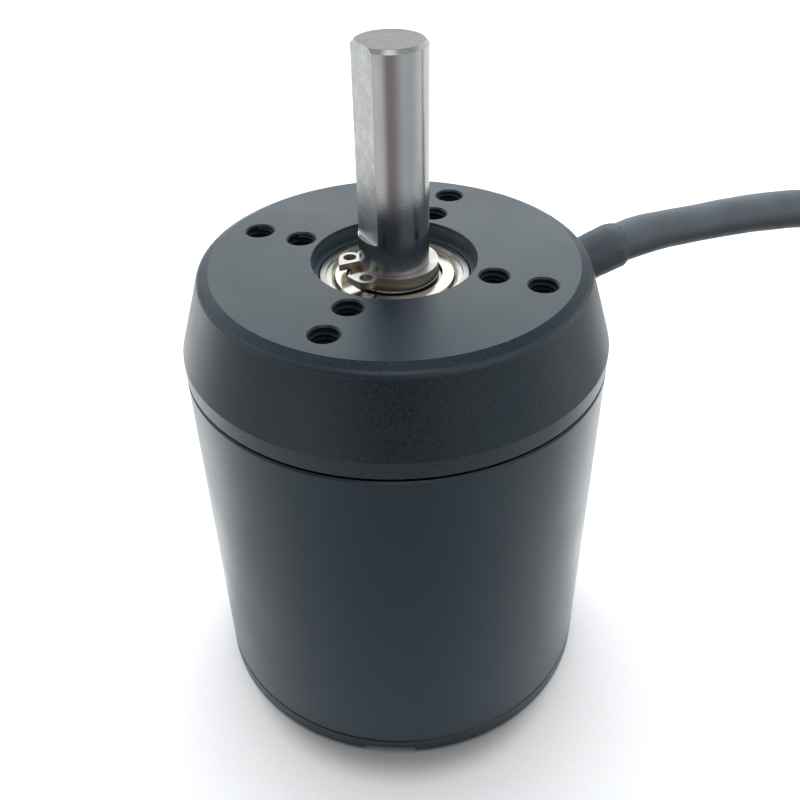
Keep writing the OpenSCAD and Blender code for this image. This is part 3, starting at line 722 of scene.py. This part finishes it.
def make_materials():
    return {
        "black_anodised": anodised("black_anodised", (0.0005, 0.004, 0.009), (0.014, 0.024, 0.034), 4000,
                                   0.36, 0.9, (0.86, 0.97, 1.0)),
        "black_can": anodised("black_can", (0.001, 0.006, 0.013), (0.008, 0.017, 0.028), 6500,
                              0.34, 0.9, (0.86, 0.97, 1.0), False),
        "electrical_steel": laminations("electrical_steel"),
        "insulator_plastic": plastic("insulator_plastic", (0.70, 0.66, 0.55), 0.45),
        "copper_wire": steel("copper_wire", (0.72, 0.30, 0.13), 0.28, (900, 900, 900), 0.01),
        "circuit_board": board_green("circuit_board"),
        "black_plastic": plastic("black_plastic", (0.022, 0.022, 0.024), 0.42),
        "bright_steel": steel("bright_steel", (0.56, 0.555, 0.54), 0.22, (3000, 3000, 3000), 0.002),
        "bearing_steel": turned_steel("bearing_steel", (0.50, 0.49, 0.47), 0.28),
        "shield_steel": turned_steel("shield_steel", (0.72, 0.70, 0.58), 0.17, 0.002, 0.14, 2500),
        "pressed_brass": turned_steel("pressed_brass", (0.66, 0.53, 0.34), 0.30),
        "magnet_nickel": steel("magnet_nickel", (0.60, 0.61, 0.62), 0.28, (1200, 1200, 300), 0.006),
        "ground_steel": shaft_steel(),
        "spring_steel": steel("spring_steel", (0.68, 0.66, 0.63), 0.36, (900, 900, 2500), 0.006),
        # Each jacket's last colour is painted shade for its downward-facing side
        "cable_jacket": jacket("cable_jacket", (0.084, 0.098, 0.111), (0.108, 0.126, 0.143),
                               (0.017, 0.025, 0.032)),
        "shrink_sleeve": jacket("shrink_sleeve", (0.052, 0.063, 0.074), (0.078, 0.093, 0.108),
                                (0.016, 0.023, 0.030)),
        "cut_thread": anodised("cut_thread", (0.012, 0.018, 0.024), (0.020, 0.028, 0.036), 5200, 0.55, 0.12,
                               (0.86, 0.97, 1.0), False),
        "yellow_insulation": plastic("yellow_insulation", (0.80, 0.56, 0.05), 0.40, 500, 0.02),
        "green_insulation": plastic("green_insulation", (0.03, 0.26, 0.08), 0.40, 500, 0.02),
        "blue_insulation": plastic("blue_insulation", (0.03, 0.09, 0.42), 0.40, 500, 0.02),
        "sensor_wires": wire_colours("sensor_wires", [
            (0.50, 0.02, 0.02), (0.72, 0.52, 0.05), (0.03, 0.24, 0.08), (0.03, 0.09, 0.40),
            (0.02, 0.02, 0.022)]),
        "gold_contact": steel("gold_contact", (0.86, 0.62, 0.22), 0.22, (2500, 400, 400), 0.004),
        "white_plastic": plastic("white_plastic", (0.80, 0.78, 0.71), 0.42, 800, 0.01),
    }


def wear(piece, material):
    piece.data.materials.clear()
    piece.data.materials.append(material)


# Studio: its paper, its sky, and what only gloss and metal see

def make_floor():
    """White paper, with the motor's contact shadow in front of its foot."""
    deselect()
    bpy.ops.mesh.primitive_plane_add(size=PAPER_SIZE, location=(0, 0, -PAPER_DROP))
    floor = bpy.context.object
    floor.name = "floor"
    material, tree, shader = new_material("floor_paper")
    at = place_on(tree)
    paper = noise(tree, at, 1400, 3.0)
    from_middle = add(tree, "VectorMath", {"operation": "SUBTRACT"}, _0=at, _1=SHADE_MIDDLE).outputs["Vector"]
    shade = eased(tree, radius_of(tree, from_middle), *SHADE_FADE, SHADE_LEAVES)
    white = two_tone(tree, paper, (0.86, 0.86, 0.865), (0.88, 0.88, 0.885))
    colour = add(tree, "MixRGB", {"blend_type": "MULTIPLY"}, Fac=1.0, Color1=white, Color2=shade)
    feed(tree, shader, colour=colour.outputs["Color"], roughness=0.8)
    bump(tree, shader, paper, 0.01, 0.2)
    wear(floor, material)


def make_sky():
    """A white studio, dimmer in front, with a broad soft light above and behind; gloss doesn't see it."""
    world = bpy.data.worlds.new("studio")
    bpy.context.scene.world = world
    world.use_nodes = True
    tree = world.node_tree
    tree.nodes.clear()
    out = tree.nodes.new("ShaderNodeOutputWorld")
    way = add(tree, "TexCoord").outputs["Generated"]
    depth = add(tree, "SeparateXYZ", Vector=way).outputs["Y"]
    near_light = add(tree, "VectorMath", {"operation": "DOT_PRODUCT"}, _0=way, _1=LIGHT_WAY).outputs["Value"]
    strength = add(tree, "Math", {"operation": "ADD"}, _0=eased(tree, depth, *ROOM_RANGE),
                   _1=eased(tree, near_light, *LIGHT_RANGE))
    ground = add(tree, "Background", Color=(0.97, 0.985, 1.0, 1), Strength=strength.outputs["Value"])
    tree.links.new(ground.outputs["Background"], out.inputs["Surface"])
    world.cycles_visibility.glossy = False


def glow_by_direction(tree, stops):
    """Brightness or colour by direction round Z, each with its degrees from the front."""
    turned_to_front = add(tree, "Mapping", Vector=place_on(tree), Rotation=(0, 0, math.pi / 2))
    share = add(tree, "TexGradient", {"gradient_type": "RADIAL"}, Vector=turned_to_front.outputs["Vector"])
    ramp = add(tree, "ValToRGB", Fac=share.outputs["Fac"])
    steps = ramp.color_ramp.elements
    for k, (angle, glow) in enumerate(stops):
        step = steps[k] if k < 2 else steps.new(1.0)
        step.position = 0.5 + angle / 360
        colour = glow if isinstance(glow, tuple) else [c * glow for c in GREY]
        step.color = (*[c / GLOW_MOST for c in colour], 1)
    return ramp.outputs["Color"]


def reflected(piece, name):
    """Makes a piece glow for gloss and metal alone, and returns its node tree and its colour's input."""
    material = bpy.data.materials.new(name)
    material.use_nodes = True
    material.cycles.emission_sampling = "NONE"
    tree = material.node_tree
    tree.nodes.clear()
    out = tree.nodes.new("ShaderNodeOutputMaterial")
    glow = add(tree, "Emission", Strength=GLOW_MOST)
    tree.links.new(glow.outputs["Emission"], out.inputs["Surface"])
    wear(piece, material)
    piece.visible_camera = piece.visible_diffuse = piece.visible_shadow = False
    return tree, glow.inputs["Color"]


def make_glow_floor():
    """The studio's floor as the motor's walls and, further out, its shaft reflect it."""
    deselect()
    bpy.ops.mesh.primitive_circle_add(vertices=96, radius=RING_R, location=(0, 0, RING_LIFT))
    ring = bpy.context.object
    ring.name = "glow_floor"
    bpy.ops.object.mode_set(mode="EDIT")
    bpy.ops.mesh.select_all(action="SELECT")
    bpy.ops.mesh.extrude_edges_move()
    bpy.ops.transform.resize(value=(RING_REACH, RING_REACH, 1), center_override=(0, 0, RING_LIFT))
    bpy.ops.object.mode_set(mode="OBJECT")
    settle(ring)
    tree, colour = reflected(ring, "glow_floor")
    radius = radius_of(tree, place_on(tree))
    floor = layer(tree, between(tree, radius, 0, 1, *FAR_FROM), glow_by_direction(tree, NEAR_GLOW),
                  glow_by_direction(tree, FAR_GLOW))
    gain = between(tree, radius, *NEAR_GAIN)
    bright = add(tree, "MixRGB", {"blend_type": "MULTIPLY"}, Fac=1.0, Color1=floor, Color2=gain)
    tree.links.new(bright.outputs["Color"], colour)


def make_glow_dome():
    """The studio's walls and ceiling as gloss and metal reflect them."""
    deselect()
    bpy.ops.mesh.primitive_uv_sphere_add(segments=48, ring_count=24, radius=DOME_R, location=(0, 0, 0))
    dome = bpy.context.object
    dome.name = "glow_dome"
    tree, colour = reflected(dome, "glow_dome")
    way = add(tree, "VectorMath", {"operation": "NORMALIZE"}, _0=place_on(tree)).outputs["Vector"]
    height = add(tree, "SeparateXYZ", Vector=way).outputs["Z"]
    walls = layer(tree, eased(tree, height, *WALL_RISE), glow_by_direction(tree, WALL_GLOW),
                  glow_by_direction(tree, HIGH_GLOW))
    room = layer(tree, eased(tree, height, *WALL_TOP), walls, tuple(c * CEILING / GLOW_MOST for c in GREY))
    lamp_way, rim, middle, light = FRONT_LAMP
    near = add(tree, "VectorMath", {"operation": "DOT_PRODUCT"}, _0=way, _1=lamp_way).outputs["Value"]
    lamp = eased(tree, near, rim, middle, 0.0, light / GLOW_MOST)
    both = add(tree, "MixRGB", {"blend_type": "ADD"}, Fac=1.0, Color1=room, Color2=lamp)
    tree.links.new(both.outputs["Color"], colour)


def make_stage():
    make_floor()
    make_sky()
    make_glow_floor()
    make_glow_dome()
    bpy.context.scene.view_settings.view_transform = "Standard"


# The object

def add_cable(finishes):
    """The cable with its sleeve and its open end."""
    cable, line, path = make_cable()
    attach(cable, "stator")
    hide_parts("motor_cable", "cable_coil", "cable_tail")
    jacket_end = make_jacket_end()
    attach(jacket_end, "stator")
    sleeve = make_sleeve(line)
    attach(sleeve, "stator")
    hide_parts("cable_sleeve")
    bpy.data.objects.remove(line)
    for piece, finish in ((cable, "cable_jacket"), (sleeve, "shrink_sleeve"), (jacket_end, "cable_jacket")):
        wear(mark_upward(piece), finishes[finish])


def dress_nodes(finishes):
    """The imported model's own nodes, each in the finish that its record names."""
    for name, node in NODES.items():
        slot = next(s["material_slot"] for s in frame["record"]["subparts"] if s["node"] == name)
        wear(node, finishes[slot])


def add_phase_leads(finishes):
    """Three leads from the jacket's end to their connectors."""
    for phase, route in PHASE_ROUTES.items():
        colour = PHASE_COLOURS[phase]
        lead, middle = make_lead("phase_wire_" + phase, route, PHASE_D)
        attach(lead, "stator")
        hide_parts("phase_lead_" + phase)
        wear(lead, finishes[colour])


def add_sensor_lead(finishes):
    """The bundle of thin wires from the jacket's end to the plug."""
    wires, middle = make_sensor_bundle()
    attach(wires, "stator")
    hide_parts("sensor_lead")
    wear(wires, finishes["sensor_wires"])


def add_threads(finishes):
    """Threads in the mounting holes, which ride with the mount."""
    threads = make_threads()
    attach(threads, "stator")
    wear(threads, finishes["cut_thread"])


def build():
    make_camera()
    finishes = make_materials()
    add_cable(finishes)
    dress_nodes(finishes)
    add_phase_leads(finishes)
    add_sensor_lead(finishes)
    add_threads(finishes)


build()
make_stage()
